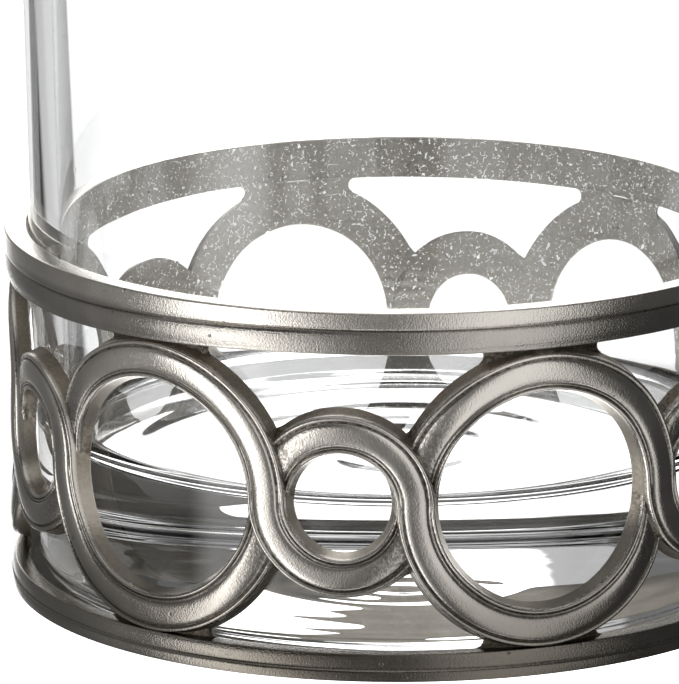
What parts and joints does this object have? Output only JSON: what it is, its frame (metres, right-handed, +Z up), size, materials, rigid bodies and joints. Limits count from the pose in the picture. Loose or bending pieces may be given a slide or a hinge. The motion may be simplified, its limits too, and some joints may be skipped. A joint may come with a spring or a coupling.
{
  "type": "whisky tumbler",
  "caption": "Heavy-based clear glass tumbler standing in an openwork pewter holder, a woven band of large and small circles between two moulded rims.",
  "frame": {"origin": "centre of the foot, on the surface that the tumbler stands on", "axes": "+Z up along the tumbler's axis; the pictured front faces -Y"},
  "size_m": [0.092, 0.092, 0.1],
  "materials": {
    "glass": "clear, polished",
    "pewter": "satin pewter with dark patina in the grooves"
  },
  "bodies": {
    "holder": {"upper_rim": "pewter", "foot_rim": "pewter", "scroll_a1": "pewter", "scroll_a2": "pewter", "scroll_a3": "pewter", "scroll_a4": "pewter", "scroll_a5": "pewter", "scroll_a6": "pewter", "scroll_b1": "pewter", "scroll_b2": "pewter", "scroll_b3": "pewter", "scroll_b4": "pewter", "scroll_b5": "pewter", "scroll_b6": "pewter"},
    "glass": {"glass_tumbler": "glass"}
  },
  "joints": [
    {"name": "glass_lift", "type": "slide", "parent": "holder", "child": "glass", "axis": [0, 0, 1], "range_m": [0, 0.045]}
  ]
}
